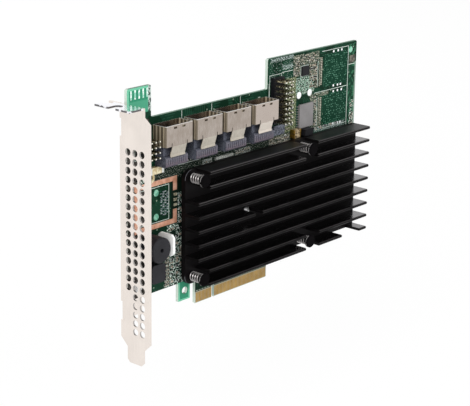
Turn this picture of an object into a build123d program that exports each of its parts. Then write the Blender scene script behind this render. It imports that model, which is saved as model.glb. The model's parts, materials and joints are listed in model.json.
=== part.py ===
from build123d import *
from math import cos, pi, sin
import os

# A full-height server storage controller card that plugs into a board-edge
# slot. Millimetres. X runs along the card away from its bracket, Y points out
# of the solder side, Z is up. The origin is the middle of the key notch, on
# the component face, at the lower edge of the gold fingers.

# Circuit board
board_thickness = 1.57
board_left = -57.15
board_right = 108.6
board_top = 111.15
board_bottom = 13.35
recess_left = -42.19
recess_right = 37.75
recess_floor = 96.44
board_corner = 0.6
hole_sides = 16
round_sides = 24

# Gold finger tab
key_width = 1.9
key_height = 8.0
fingers_before_key = 11
fingers_after_key = 38
finger_pitch = 1.0
key_to_finger = 1.5
finger_margin = 1.1
finger_bevel = 0.45
finger_gap = 0.15
pad_width = 0.7
pad_top = 5.45
pad_thickness = 0.05

# Retention hook beside the fingers
hook_left = -24.2
hook_right = -16.2
hook_bottom = 4.1
hook_hole = (-19.8, 8.8)
hook_hole_radius = 1.8

# Bracket, one folded sheet
sheet = 0.86
bracket_face = -59.05
bracket_far = 2.66
bracket_width = 18.42
bracket_top = 105.2
shoulder_bottom = 98.2
shoulder_top = 100.9
flange_near = -12.15
flange_far = 9.1
flange_reach = 8.8
flange_overhang = 0.3
fold_radius = 0.6
screw_slot_width = 4.42
side_slot_floor = 4.6
side_slot_lip = 0.3
end_slot_middle = -1.6
end_slot_depth = 5.9
taper_top = -3.4
tongue_top = -7.3
tongue_bottom = -14.82
tongue_width = 10.19
tongue_middle = -6.55
tongue_corner = 1.5
vent_radius = 1.68
vent_sides = 10
vent_pitch_y = 4.29
vent_pitch_z = 4.17
vent_far_column = -2.3
vent_top = 84.1
vent_counts = (16, 21, 21)
upper_ear = (90.55, 98.65)
lower_ear = (4.65, 13.65)
lower_ear_rise = 23.3
ear_holes_z = (19.0, 94.6)
ear_hole_x = -51.4
ear_end = -46.6
ear_fold_radius = 0.3
ear_slit = 0.5

# Bracket screws
screw_radius = 1.35
screw_clearance = 0.05
board_screw_clearance = 0.25
screw_head_radius = 2.6
screw_head_height = 1.7
screw_end = 0.4
drive_width = 0.6
drive_length = 3.0
drive_depth = 0.7

# Heat sink, one black extrusion with its fins cut back round the fasteners
sink_seat = 2.6
sink_base = 2.4
sink_left = -25.0
sink_right = 104.0
sink_height = 14.0
sink_corner = 4.3
fin_thickness = 1.4
fin_lowest = 14.4
fin_pitch = 6.725
fin_count = 9
fin_start_at_pins = -17.5
upper_pin_gap = (52.2, 62.0)
lower_pin_gap = (54.0, 64.7)
lowest_fin_gap = (83.4, 98.4)
screw_gap = (14.6, 20.1)
fin_nose = 0.5

# Sprung push pins that hold the heat sink
pin_columns = (-20.4, 58.2)
pin_rows = (17.5, 65.1)
pin_radius = 1.4
pin_clearance = 0.2
pin_head_radius = 3.2
pin_head_height = 1.5
pin_rim = 0.4
spring_length = 7.3
spring_radius = 2.05
spring_wire = 0.28
spring_turns = 5
spring_runs_per_turn = 8
spring_seat = 0.02
barb_radius = 2.1
barb_length = 2.4
barb_point = 1.3
barb_slot = 0.7

# Screw at the middle of the heat sink
middle_screw_radius = 1.2
middle_screw_clearance = 0.2
middle_head_radius = 1.9
middle_head_height = 1.3
middle_nut_across = 4.5
middle_nut_height = 1.5

# Chips under the heat sink
processor_middle = (-2.0, 41.3)
processor_side = 31.0
expander_middle = (38.0, 41.3)
expander_side = 27.0
package_substrate = 1.2
package_lid = 1.0
lid_margin = 3.0
memory_size = (9.0, 11.5)
memory_height = 1.1
memory_pitch = (10.5, 13.5)
memory_middle = (82.0, 41.3)
memory_grid = (3, 3)

# Cable ports, each a metal shell over a moulded housing
port_count = 4
port_first = -32.6
port_pitch = 20.2
shell_width = 17.7
shell_height = 8.5
shell_wall = 0.3
shell_corner = 0.5
shell_bottom = 83.5
shell_top = 93.1
window_width = 2.0
window_height = 0.9
window_spacing = 5.4
window_drop = 1.25
latch_width = 9.4
latch_slit = 0.45
latch_root = 1.6
latch_drop = 5.2
latch_lean = 1.2
latch_lip = 1.1
latch_return = 0.3
shell_tab_width = 3.0
housing_width = 14.2
housing_face = 5.0
housing_bottom = 73.5
ledge_top = 78.4
ledge_face = 6.9
ledge_chamfer = 0.8
rib_count = 9
rib_width = 0.5
rib_depth = 0.3
plug_room = 0.05
nose_top = 88.0
nose_width = 13.6
nose_face = 6.2
nose_back = 2.4
card_slot_width = 12.4
card_slot_gap = 1.2
card_slot_depth = 4.3
shell_floor = 84.6

# Pin headers
header_pitch = 2.54
header_base = 2.54
header_post = 0.64
header_post_fit = 0.03
header_tip = 9.2
header_tail = 1.2
header_point = 0.16
header_groove = 0.5
left_header_first = (-50.68, 79.8)
left_header_grid = (3, 4)
right_header_first = (41.5, 80.0)
right_header_grid = (3, 9)

# Sounder, choke and upright guide beside the bracket
sounder_middle = (-43.9, 36.3)
sounder_radius = 6.0
sounder_height = 8.5
sounder_hole = 1.0
sounder_hole_depth = 2.0
sounder_edge = 0.5
sounder_sides = 36
choke_middle = (-42.2, 24.0)
choke_size = (9.2, 9.4)
choke_height = 5.0
choke_corner = 1.0
choke_step = 0.5
guide_left = -37.7
guide_thickness = 1.2
guide_drop = 10.1
guide_gap = 1.65
guide_height = 9.6
guide_corner = 1.4

# Copper frame on the board
frame_middle = (-39.2, 55.1)
frame_size = (27.5, 22.5)
frame_bar = 2.3
frame_side = 2.5
frame_opening = 9.0
copper_height = 0.1
jumper_size = (1.9, 1.2)
jumper_height = 0.5
jumper_pitch = 2.5

# Parts at the top right
flash_middle = (67.2, 78.8)
flash_size = (10.8, 12.0)
flash_height = 1.2
flash_leads = 9
lead_pitch = 1.27
lead_width = 0.45
lead_reach = 1.1
lead_thickness = 0.2
lead_rise = 0.8
monitor_middle = (66.2, 101.4)
monitor_size = (5.4, 4.6)
monitor_height = 0.9
regulator_middle = (46.4, 74.9)
regulator_size = (8.4, 4.8)
regulator_height = 0.95
inductor_middle = (66.2, 70.9)
inductor_size = (6.2, 3.3)
inductor_height = 4.2
end_cap_share = 0.16
film_middle = (-40.4, 71.8)
film_size = (9.0, 3.2)
film_height = 2.0
tantalum_middle = (58.8, 71.1)
tantalum_size = (5.4, 2.0)
tantalum_height = 2.6
tantalum_pitch = 2.2
array_middle = (6.5, 69.1)
array_size = (12.6, 1.4)
array_height = 0.8
array_notch = 0.45
array_notches = 8

# Small resistors and capacitors, in regular fields
small_size = (1.6, 0.8)
small_height = 0.6
left_field_middle = (-27.3, 26.5)
left_field_pitch = (3.3, 3.6)
left_field_grid = (2, 7)
edge_column_gap = 1.85
edge_column_height = 47.0
edge_column_pitch = 3.1
edge_column_count = 7
port_row_middle = (4.0, 72.2)
port_row_pitch = 6.2
port_row_count = 8
right_field_middle = (54.4, 86.0)
right_field_pitch = (3.4, 4.0)
right_field_grid = (2, 6)
upper_row_middle = (83.5, 70.6)
upper_row_pitch = 4.6
upper_row_count = 5

os.makedirs("parts", exist_ok=True)


def component_plane(height=0.0):
    """The component face, or a plane that far out from it. Its X is X, its Y is Z."""
    return Plane.XZ.offset(height)


def finish(piece, name):
    """Label a finished piece and write it out."""
    piece.label = name
    export_step(piece, f"parts/{name}.step")


def box_middle(low, high):
    return (low + high) / 2


def mirrored(spacing):
    return (-spacing / 2, spacing / 2)


def header_places(first, grid):
    columns, rows = grid
    return [
        (first[0] + header_pitch * column, first[1] + header_pitch * row)
        for column in range(columns)
        for row in range(rows)
    ]


# Values that follow from the ones above
solder_face = board_thickness
finger_left = -(key_to_finger + (fingers_before_key - 1) * finger_pitch + finger_margin)
finger_right = key_to_finger + (fingers_after_key - 1) * finger_pitch + finger_margin
pad_bottom = finger_bevel + finger_gap
finger_places = [-key_to_finger - finger_pitch * i for i in range(fingers_before_key)]
finger_places += [key_to_finger + finger_pitch * i for i in range(fingers_after_key)]
bracket_near = bracket_far - bracket_width
bracket_inside = bracket_face + sheet
header_hole = header_post + 2 * header_post_fit
ear_back = board_thickness + sheet
ear_fold_start = ear_back - sheet - ear_fold_radius
ear_places = [(ear_hole_x, z) for z in ear_holes_z]
pin_places = [(x, z) for x in pin_columns for z in pin_rows]
sink_front = sink_seat + sink_base
fin_heights = [fin_lowest + fin_pitch * i for i in range(fin_count)]
sink_bottom = fin_lowest - fin_thickness / 2
sink_top = fin_heights[-1] + fin_thickness / 2
middle_screw = (box_middle(*screw_gap), fin_heights[fin_count // 2])
port_middles = [port_first + port_pitch * i for i in range(port_count)]
frame_right = frame_middle[0] + frame_size[0] / 2
guide_top = frame_middle[1] - frame_size[1] / 2 - guide_gap
guide_bottom = guide_top - guide_drop
edge_column_middle = (frame_right + edge_column_gap, edge_column_height)


# Circuit board
with BuildPart() as circuit_board:
    with BuildSketch(component_plane()) as board_outline:
        with BuildLine():
            Polyline(
                (board_left, board_bottom),
                (hook_left, board_bottom),
                (hook_left, hook_bottom),
                (hook_right, hook_bottom),
                (hook_right, board_bottom),
                (finger_left, board_bottom),
                (finger_left, 0),
                (finger_right, 0),
                (finger_right, board_bottom),
                (board_right, board_bottom),
                (board_right, board_top),
                (recess_right, board_top),
                (recess_right, recess_floor),
                (recess_left, recess_floor),
                (recess_left, board_top),
                (board_left, board_top),
                close=True,
            )
        make_face()
        hook_corners = board_outline.vertices().filter_by(lambda corner: abs(corner.Y - hook_bottom) < 0.01)
        chamfer([corner for corner in board_outline.vertices() if corner not in hook_corners], length=board_corner)
        with Locations((0, 0)):
            SlotCenterPoint((0, 0), (0, key_height - key_width / 2), key_width, mode=Mode.SUBTRACT)
        with Locations(hook_hole):
            RegularPolygon(hook_hole_radius, side_count=round_sides, mode=Mode.SUBTRACT)
        with Locations(*pin_places):
            RegularPolygon(pin_radius + pin_clearance, side_count=hole_sides, mode=Mode.SUBTRACT)
        with Locations(*ear_places):
            RegularPolygon(screw_radius + board_screw_clearance, side_count=hole_sides, mode=Mode.SUBTRACT)
        with Locations(middle_screw):
            RegularPolygon(middle_screw_radius + middle_screw_clearance, side_count=hole_sides, mode=Mode.SUBTRACT)
        for first, grid in (left_header_first, left_header_grid), (right_header_first, right_header_grid):
            with Locations(*header_places(first, grid)):
                Rectangle(header_hole, header_hole, mode=Mode.SUBTRACT)
    extrude(amount=-board_thickness)
    finger_edges = circuit_board.edges().filter_by(Axis.X).group_by(Axis.Z)[0]
    chamfer(finger_edges, length=finger_bevel)
finish(circuit_board.part, "circuit_board")


# Gold contacts on both faces of the finger tab
def contact_row(face_plane, outward):
    with BuildPart() as contacts:
        with BuildSketch(face_plane):
            with Locations(*[(x, box_middle(pad_bottom, pad_top)) for x in finger_places]):
                Rectangle(pad_width, pad_top - pad_bottom)
        extrude(amount=outward * pad_thickness)
    return contacts.part


finish(contact_row(component_plane(), 1), "front_contacts")
finish(contact_row(component_plane(-solder_face), -1), "back_contacts")

# Bracket: a vented plate, its top flange, its tongue and two ears for the board
with BuildPart() as mounting_bracket:
    with BuildSketch(Plane.YZ.offset(bracket_face)):
        tongue_near = tongue_middle - tongue_width / 2
        tongue_far = tongue_middle + tongue_width / 2
        with BuildLine():
            Polyline(
                (bracket_far, bracket_top - sheet),
                (flange_near, bracket_top - sheet),
                (flange_near, shoulder_top),
                (bracket_near, shoulder_bottom),
                (bracket_near, taper_top),
                (tongue_near, tongue_top),
                (tongue_near, tongue_bottom + tongue_corner),
                (tongue_near + tongue_corner, tongue_bottom),
                (tongue_far - tongue_corner, tongue_bottom),
                (tongue_far, tongue_bottom + tongue_corner),
                (tongue_far, tongue_top),
                (bracket_far, taper_top),
                close=True,
            )
        make_face()
        for ear_low, ear_high in (upper_ear, lower_ear):
            with Locations((bracket_far, box_middle(ear_low, ear_high))):
                Rectangle(2 * (bracket_far - ear_fold_start), ear_high - ear_low, mode=Mode.SUBTRACT)
        for column, count in enumerate(vent_counts):
            vent_y = vent_far_column - vent_pitch_y * column
            with Locations(*[(vent_y, vent_top - vent_pitch_z * row) for row in range(count)]):
                RegularPolygon(vent_radius, side_count=vent_sides, mode=Mode.SUBTRACT)
    extrude(amount=sheet)
    with BuildSketch(Plane.XY.offset(bracket_top)):
        flange_end = bracket_face - flange_reach
        flange_back = bracket_inside + flange_overhang
        slot_inner = bracket_face - side_slot_lip
        slot_outer = slot_inner - screw_slot_width
        slot_half = screw_slot_width / 2
        slot_end = flange_end + end_slot_depth - slot_half
        with BuildLine():
            Polyline(
                (bracket_inside, flange_near),
                (flange_end, flange_near),
                (flange_end, flange_far),
                (flange_back, flange_far),
                (flange_back, bracket_far),
                (bracket_inside, bracket_far),
                close=True,
            )
        make_face()
        with Locations((box_middle(slot_outer, slot_inner), side_slot_floor + slot_half)):
            Circle(slot_half, mode=Mode.SUBTRACT)
        with Locations((box_middle(slot_outer, slot_inner), box_middle(side_slot_floor + slot_half, flange_far))):
            Rectangle(screw_slot_width, flange_far - side_slot_floor - slot_half, mode=Mode.SUBTRACT)
        with Locations((slot_end, end_slot_middle)):
            Circle(slot_half, mode=Mode.SUBTRACT)
        with Locations((box_middle(flange_end, slot_end), end_slot_middle)):
            Rectangle(slot_end - flange_end, screw_slot_width, mode=Mode.SUBTRACT)
    extrude(amount=-sheet)
    fold_edges = (
        mounting_bracket.edges()
        .filter_by(Axis.Y)
        .filter_by(lambda edge: abs(edge.center().X - bracket_inside) < 0.01)
        .group_by(Axis.Z)[-1]
    )
    fillet(fold_edges, radius=fold_radius)
    for ear_low, ear_high in (upper_ear, lower_ear):
        with BuildSketch(Plane.XY.offset(ear_low)) as ear_section:
            with BuildLine():
                Polyline(
                    (bracket_face, ear_fold_start - sheet),
                    (bracket_face, ear_back),
                    (ear_end, ear_back),
                    (ear_end, board_thickness),
                    (bracket_inside, board_thickness),
                    (bracket_inside, ear_fold_start - sheet),
                    close=True,
                )
            make_face()
            corners = ear_section.vertices()
            outer_fold = corners.sort_by_distance((bracket_face, ear_back))[0]
            fillet(outer_fold, radius=sheet + ear_fold_radius)
            corners = ear_section.vertices()
            inner_fold = corners.sort_by_distance((bracket_inside, board_thickness))[0]
            fillet(inner_fold, radius=ear_fold_radius)
        extrude(amount=ear_high - ear_low)
    with BuildSketch(component_plane(-solder_face)):
        rise_left = bracket_inside + ear_fold_radius + ear_slit
        with Locations((box_middle(rise_left, ear_end), box_middle(lower_ear[0], lower_ear_rise))):
            Rectangle(ear_end - rise_left, lower_ear_rise - lower_ear[0])
    extrude(amount=-sheet)
    with BuildSketch(component_plane(-solder_face)):
        with Locations(*ear_places):
            RegularPolygon(screw_radius + screw_clearance, side_count=hole_sides)
    extrude(amount=-sheet, mode=Mode.SUBTRACT)
finish(mounting_bracket.part, "mounting_bracket")

# Screws that clamp the board to the bracket's ears
with BuildPart() as bracket_screws:
    with BuildSketch(component_plane(screw_head_height)):
        with Locations(*ear_places):
            RegularPolygon(screw_head_radius, side_count=round_sides)
    extrude(amount=-screw_head_height)
    head_rims = bracket_screws.edges().group_by(Axis.Y)[0]
    chamfer(head_rims, length=screw_head_height / 2)
    with BuildSketch(component_plane(screw_head_height)):
        with Locations(*ear_places):
            Rectangle(drive_length, drive_width)
            Rectangle(drive_width, drive_length)
    extrude(amount=-drive_depth, mode=Mode.SUBTRACT)
    with BuildSketch(component_plane()):
        with Locations(*ear_places):
            RegularPolygon(screw_radius, side_count=hole_sides)
    extrude(amount=-(solder_face + sheet + screw_end))
finish(bracket_screws.part, "bracket_screws")

# Heat sink: base plate, then fins, then the stretches cut back round fasteners
with BuildPart() as heat_sink:
    with BuildSketch(component_plane(sink_seat)) as sink_outline:
        with Locations((box_middle(sink_left, sink_right), box_middle(sink_bottom, sink_top))):
            Rectangle(sink_right - sink_left, sink_top - sink_bottom)
        fillet(sink_outline.vertices().group_by(Axis.X)[0], radius=sink_corner)
    extrude(amount=sink_base)
    fin_run_middle = box_middle(sink_left, sink_right)
    with BuildSketch(component_plane(sink_front)):
        with Locations(*[(fin_run_middle, z) for z in fin_heights]):
            Rectangle(sink_right - sink_left, fin_thickness)
    extrude(amount=sink_height - sink_front)
    fin_tips = heat_sink.edges().filter_by(Axis.X).group_by(Axis.Y)[0]
    chamfer(fin_tips, length=fin_nose, length2=fin_thickness / 4)

    fin_cuts = (
        (sink_left - 1, fin_start_at_pins, fin_count - 2, fin_count - 1),
        (sink_left - 1, fin_start_at_pins, 0, 1),
        (*upper_pin_gap, fin_count - 2, fin_count - 1),
        (*lower_pin_gap, 0, 1),
        (*lowest_fin_gap, 0, 0),
        (*screw_gap, fin_count // 2, fin_count // 2),
    )
    with BuildSketch(component_plane(sink_front)):
        for low_x, high_x, low_fin, high_fin in fin_cuts:
            low_z = fin_heights[low_fin] - fin_thickness
            high_z = fin_heights[high_fin] + fin_thickness
            with Locations((box_middle(low_x, high_x), box_middle(low_z, high_z))):
                Rectangle(high_x - low_x, high_z - low_z)
    extrude(amount=sink_height, mode=Mode.SUBTRACT)
    with BuildSketch(component_plane(sink_seat)):
        with Locations(*pin_places):
            RegularPolygon(pin_radius + pin_clearance, side_count=hole_sides)
        with Locations(middle_screw):
            RegularPolygon(middle_screw_radius + middle_screw_clearance, side_count=hole_sides)
    extrude(amount=sink_base, mode=Mode.SUBTRACT)
finish(heat_sink.part, "heat_sink")


# Push pins: a rimmed head, a shaft and a split barb that snaps behind the board
head_seat = sink_front + spring_length
with BuildPart() as push_pins:
    with BuildSketch(component_plane(head_seat)):
        with Locations(*pin_places):
            RegularPolygon(pin_head_radius, side_count=round_sides)
    extrude(amount=pin_head_height)
    chamfer(push_pins.edges().group_by(Axis.Y)[0], length=pin_rim)
    with BuildSketch(component_plane(-solder_face)):
        with Locations(*pin_places):
            RegularPolygon(barb_radius, side_count=hole_sides)
    extrude(amount=-barb_length)
    chamfer(push_pins.edges().group_by(Axis.Y)[-1], length=barb_point)
    with BuildSketch(component_plane(head_seat)):
        with Locations(*pin_places):
            RegularPolygon(pin_radius, side_count=hole_sides)
    extrude(amount=-(head_seat + solder_face))
    with BuildSketch(component_plane(-solder_face)):
        with Locations(*pin_places):
            Rectangle(barb_slot, 3 * barb_radius)
    extrude(amount=-2 * barb_length, mode=Mode.SUBTRACT)
finish(push_pins.part, "push_pins")

# Springs between the heat sink and the push pins' heads, each a coil of short runs
with BuildPart() as pin_springs:
    coil_room = spring_length - 2 * (spring_wire + spring_seat)
    coil_start = sink_front + spring_wire + spring_seat
    coil_steps = spring_turns * spring_runs_per_turn
    for pin_x, pin_z in pin_places:
        coil_points = [
            (
                pin_x + spring_radius * cos(2 * pi * step / spring_runs_per_turn),
                -(coil_start + coil_room * step / coil_steps),
                pin_z + spring_radius * sin(2 * pi * step / spring_runs_per_turn),
            )
            for step in range(coil_steps + 1)
        ]
        with BuildLine() as coil:
            Polyline(*coil_points)
        with BuildSketch(Plane(origin=coil.line @ 0, z_dir=coil.line % 0)):
            RegularPolygon(spring_wire, side_count=4)
        sweep(path=coil.line, transition=Transition.RIGHT)
finish(pin_springs.part, "pin_springs")

# Screw through the middle of the heat sink, and its nut behind the board
with BuildPart() as middle_screw_part:
    with BuildSketch(component_plane(sink_front)):
        with Locations(middle_screw):
            RegularPolygon(middle_head_radius, side_count=round_sides)
    extrude(amount=middle_head_height)
    head_rim = middle_screw_part.edges().group_by(Axis.Y)[0]
    chamfer(head_rim, length=middle_head_height / 2)
    with BuildSketch(component_plane(sink_front + middle_head_height)):
        with Locations(middle_screw):
            Rectangle(middle_head_radius, drive_width)
            Rectangle(drive_width, middle_head_radius)
    extrude(amount=-drive_depth, mode=Mode.SUBTRACT)
    with BuildSketch(component_plane(sink_front)):
        with Locations(middle_screw):
            RegularPolygon(middle_screw_radius, side_count=hole_sides)
    extrude(amount=-(sink_front + solder_face + middle_nut_height))
finish(middle_screw_part.part, "middle_screw")

with BuildPart() as middle_nut:
    with BuildSketch(component_plane(-solder_face)):
        with Locations(middle_screw):
            RegularPolygon(middle_nut_across / 2, side_count=6, major_radius=False)
            RegularPolygon(middle_screw_radius + screw_clearance, side_count=hole_sides, mode=Mode.SUBTRACT)
    extrude(amount=-middle_nut_height)
finish(middle_nut.part, "middle_nut")


# Chips under the heat sink, with the thermal pads that couple them to it
def lidded_package(middle, side):
    with BuildPart() as package:
        with BuildSketch(component_plane()):
            with Locations(middle):
                Rectangle(side, side)
        extrude(amount=package_substrate)
        with BuildSketch(component_plane(package_substrate)):
            with Locations(middle):
                Rectangle(side - 2 * lid_margin, side - 2 * lid_margin)
        extrude(amount=package_lid)
    return package.part


def thermal_pad(middle, side):
    lid_face = package_substrate + package_lid
    with BuildPart() as pad:
        with BuildSketch(component_plane(lid_face)):
            with Locations(middle):
                Rectangle(side - 2 * lid_margin, side - 2 * lid_margin)
        extrude(amount=sink_seat - lid_face)
    return pad.part


finish(lidded_package(processor_middle, processor_side), "raid_processor")
finish(thermal_pad(processor_middle, processor_side), "processor_thermal_pad")
finish(lidded_package(expander_middle, expander_side), "port_expander")
finish(thermal_pad(expander_middle, expander_side), "expander_thermal_pad")

with BuildPart() as memory_chips:
    with BuildSketch(component_plane()):
        with Locations(memory_middle):
            with GridLocations(*memory_pitch, *memory_grid):
                Rectangle(*memory_size)
    extrude(amount=memory_height)
finish(memory_chips.part, "memory_chips")


# Cable ports
def port_shell(port_x):
    """A folded sheet tube, open up and down, whose front wall ends in a latch tongue."""
    shell_middle = shell_height / 2
    with BuildPart() as shell:
        with BuildSketch(Plane.XY.offset(shell_bottom)):
            with Locations((port_x, -shell_middle)):
                outside = Rectangle(shell_width, shell_height)
                chamfer(outside.vertices(), length=shell_corner)
                offset(amount=-shell_wall, mode=Mode.SUBTRACT)
        extrude(amount=shell_top - shell_bottom)
        window_z = shell_top - window_drop
        slit_x = latch_width / 2 + latch_slit / 2
        with BuildSketch(component_plane(shell_height)):
            with Locations(*[(port_x + dx, window_z) for dx in mirrored(window_spacing)]):
                Rectangle(window_width, window_height)
            with Locations(*[(port_x + dx, shell_bottom) for dx in (-slit_x, slit_x)]):
                Rectangle(latch_slit, 2 * latch_root)
        extrude(amount=-2 * shell_wall, mode=Mode.SUBTRACT)
        lean_z = shell_bottom - latch_drop + latch_lip
        low_z = shell_bottom - latch_drop
        lean_y = -shell_height + latch_lean
        lip_y = lean_y - latch_return
        with BuildSketch(Plane.YZ.offset(port_x - latch_width / 2)):
            with BuildLine():
                Polyline(
                    (-shell_height, shell_bottom),
                    (lean_y, lean_z),
                    (lip_y, low_z),
                    (lip_y + shell_wall, low_z),
                    (lean_y + shell_wall, lean_z),
                    (-shell_height + shell_wall, shell_bottom),
                    close=True,
                )
            make_face()
        extrude(amount=latch_width)
    return shell.part


def port_housing(port_x):
    """Moulded body: a ledge at the foot, a recessed face, and the slotted nose in the shell."""
    with BuildPart() as housing:
        with BuildSketch(component_plane()):
            with Locations((port_x, box_middle(housing_bottom, shell_bottom))):
                Rectangle(housing_width, shell_bottom - housing_bottom)
        extrude(amount=housing_face)
        with BuildSketch(component_plane()):
            with Locations((port_x, box_middle(housing_bottom, ledge_top))):
                Rectangle(housing_width, ledge_top - housing_bottom)
        extrude(amount=ledge_face)
        foot_edge = housing.edges().filter_by(Axis.X).group_by(Axis.Y)[0]
        chamfer(foot_edge, length=ledge_chamfer)
        rib_room = housing_width / (rib_count + 1)
        with BuildSketch(component_plane(ledge_face)):
            with Locations((port_x, box_middle(housing_bottom, ledge_top))):
                with GridLocations(rib_room, rib_room, rib_count, 1):
                    Rectangle(rib_width, (ledge_top - housing_bottom) / 2)
        extrude(amount=-rib_depth, mode=Mode.SUBTRACT)
        inner_width = shell_width - 2 * shell_wall - 2 * plug_room
        inner_back = shell_wall + plug_room
        inner_face = shell_height - shell_wall - plug_room
        with BuildSketch(Plane.XY.offset(shell_bottom)):
            with Locations((port_x, -box_middle(inner_back, inner_face))):
                floor_corners = Rectangle(inner_width, inner_face - inner_back).vertices()
            chamfer(floor_corners, length=shell_corner)
        extrude(amount=shell_floor - shell_bottom)
        with BuildSketch(Plane.XY.offset(shell_bottom)):
            with Locations((port_x, -box_middle(nose_back, nose_face))):
                Rectangle(nose_width, nose_face - nose_back)
        extrude(amount=nose_top - shell_bottom)
        with BuildSketch(Plane.XY.offset(nose_top)):
            with Locations((port_x, -box_middle(nose_back, nose_face))):
                Rectangle(card_slot_width, card_slot_gap)
        extrude(amount=-card_slot_depth, mode=Mode.SUBTRACT)
    return housing.part


for port_number, port_x in enumerate(port_middles, start=1):
    finish(port_shell(port_x), f"port_shell_{port_number}")
    finish(port_housing(port_x), f"port_housing_{port_number}")


# Pin headers: a moulded base and its square posts
def header_body(first, grid):
    columns, rows = grid
    middle = (first[0] + header_pitch * (columns - 1) / 2, first[1] + header_pitch * (rows - 1) / 2)
    with BuildPart() as body:
        with BuildSketch(component_plane()):
            with Locations(middle):
                Rectangle(header_pitch * columns, header_pitch * rows)
            with Locations(*header_places(first, grid)):
                Rectangle(header_hole, header_hole, mode=Mode.SUBTRACT)
        extrude(amount=header_base)
        with BuildSketch(component_plane(header_base)):
            with Locations(middle):
                with GridLocations(header_pitch, header_pitch, 1, rows - 1):
                    Rectangle(2 * header_pitch * columns, header_groove)
        extrude(amount=-header_groove, mode=Mode.SUBTRACT)
    return body.part


def header_posts(first, grid):
    with BuildPart() as posts:
        with BuildSketch(component_plane(-solder_face - header_tail)):
            with Locations(*header_places(first, grid)):
                Rectangle(header_post, header_post)
        extrude(amount=solder_face + header_tail + header_tip)
        chamfer(posts.edges().group_by(Axis.Y)[0], length=header_point)
    return posts.part


finish(header_body(left_header_first, left_header_grid), "left_header_base")
finish(header_posts(left_header_first, left_header_grid), "left_header_pins")
finish(header_body(right_header_first, right_header_grid), "right_header_base")
finish(header_posts(right_header_first, right_header_grid), "right_header_pins")

# Sounder, a drum with one sound hole
with BuildPart() as sounder:
    with BuildSketch(component_plane()):
        with Locations(sounder_middle):
            RegularPolygon(sounder_radius, side_count=sounder_sides)
    extrude(amount=sounder_height)
    sounder_rim = sounder.edges().group_by(Axis.Y)[0]
    chamfer(sounder_rim, length=sounder_edge)
    with BuildSketch(component_plane(sounder_height)):
        with Locations(sounder_middle):
            RegularPolygon(sounder_hole, side_count=hole_sides)
    extrude(amount=-sounder_hole_depth, mode=Mode.SUBTRACT)
finish(sounder.part, "sounder")

# Power choke, a moulded block on a slightly larger foot
with BuildPart() as power_choke:
    with BuildSketch(component_plane()):
        with Locations(choke_middle):
            Rectangle(*choke_size)
    extrude(amount=choke_step)
    with BuildSketch(component_plane(choke_step)):
        with Locations(choke_middle):
            choke_corners = Rectangle(choke_size[0] - choke_step, choke_size[1] - choke_step).vertices()
        chamfer(choke_corners, length=choke_corner)
    extrude(amount=choke_height - choke_step)
finish(power_choke.part, "power_choke")

# Pale upright guide plate beside the sounder
with BuildPart() as upright_guide:
    with BuildSketch(Plane.YZ.offset(guide_left)) as guide_outline:
        with Locations((-guide_height / 2, box_middle(guide_bottom, guide_top))):
            Rectangle(guide_height, guide_top - guide_bottom)
        chamfer(guide_outline.vertices(), length=guide_corner)
    extrude(amount=guide_thickness)
finish(upright_guide.part, "upright_guide")

# Copper frame on the board, open at one side
with BuildPart() as copper_frame:
    with BuildSketch(component_plane()):
        with Locations(frame_middle):
            Rectangle(*frame_size)
            Rectangle(frame_size[0] - 2 * frame_side, frame_size[1] - 2 * frame_bar, mode=Mode.SUBTRACT)
        with Locations((frame_right, frame_middle[1])):
            Rectangle(3 * frame_side, frame_opening, mode=Mode.SUBTRACT)
    extrude(amount=copper_height)
finish(copper_frame.part, "copper_frame")

with BuildPart() as frame_jumpers:
    jumper_x = frame_right - frame_side / 2
    with BuildSketch(component_plane()):
        with Locations((jumper_x, frame_middle[1])):
            with GridLocations(jumper_pitch, jumper_pitch, 1, 3):
                Rectangle(*jumper_size)
    extrude(amount=jumper_height)
finish(frame_jumpers.part, "frame_jumpers")


# Flash chip: a grey body on two rows of bent leads
with BuildPart() as flash_chip:
    with BuildSketch(component_plane(lead_thickness)):
        with Locations(flash_middle):
            Rectangle(*flash_size)
    extrude(amount=flash_height - lead_thickness)
    lead_out = flash_size[0] / 2 + lead_reach
    for side in (-1, 1):
        lead_plane_start = flash_middle[0] + side * flash_size[0] / 2
        foot_end = flash_middle[0] + side * lead_out
        for row in range(flash_leads):
            lead_z = flash_middle[1] + lead_pitch * (row - (flash_leads - 1) / 2) - lead_width / 2
            knee = box_middle(lead_plane_start, foot_end)
            with BuildSketch(Plane.XY.offset(lead_z)):
                with BuildLine():
                    Polyline(
                        (lead_plane_start, -lead_rise),
                        (knee, -lead_rise),
                        (knee, -lead_thickness),
                        (foot_end, -lead_thickness),
                        (foot_end, 0),
                        (knee - side * lead_thickness, 0),
                        (knee - side * lead_thickness, -lead_rise + lead_thickness),
                        (lead_plane_start, -lead_rise + lead_thickness),
                        close=True,
                    )
                make_face()
            extrude(amount=lead_width)
finish(flash_chip.part, "flash_chip")

# Small flat chips near the top right corner
with BuildPart() as monitor_chip:
    with BuildSketch(component_plane()):
        with Locations(monitor_middle):
            Rectangle(*monitor_size)
    extrude(amount=monitor_height)
finish(monitor_chip.part, "monitor_chip")

with BuildPart() as regulator:
    with BuildSketch(component_plane()):
        with Locations(regulator_middle):
            Rectangle(*regulator_size)
    extrude(amount=regulator_height)
finish(regulator.part, "regulator")


# Block parts with a metal cap folded over each end
def capped_bodies(places, size, height):
    cap = size[0] * end_cap_share
    with BuildPart() as bodies:
        with BuildSketch(component_plane()):
            with Locations(*places):
                Rectangle(size[0] - 2 * cap, size[1])
        extrude(amount=height)
    return bodies.part


def end_caps(places, size, height):
    cap = size[0] * end_cap_share
    with BuildPart() as caps:
        with BuildSketch(component_plane()):
            with Locations(*places):
                with GridLocations(size[0] - cap, size[1], 2, 1):
                    Rectangle(cap, size[1])
        extrude(amount=height)
    return caps.part


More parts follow.
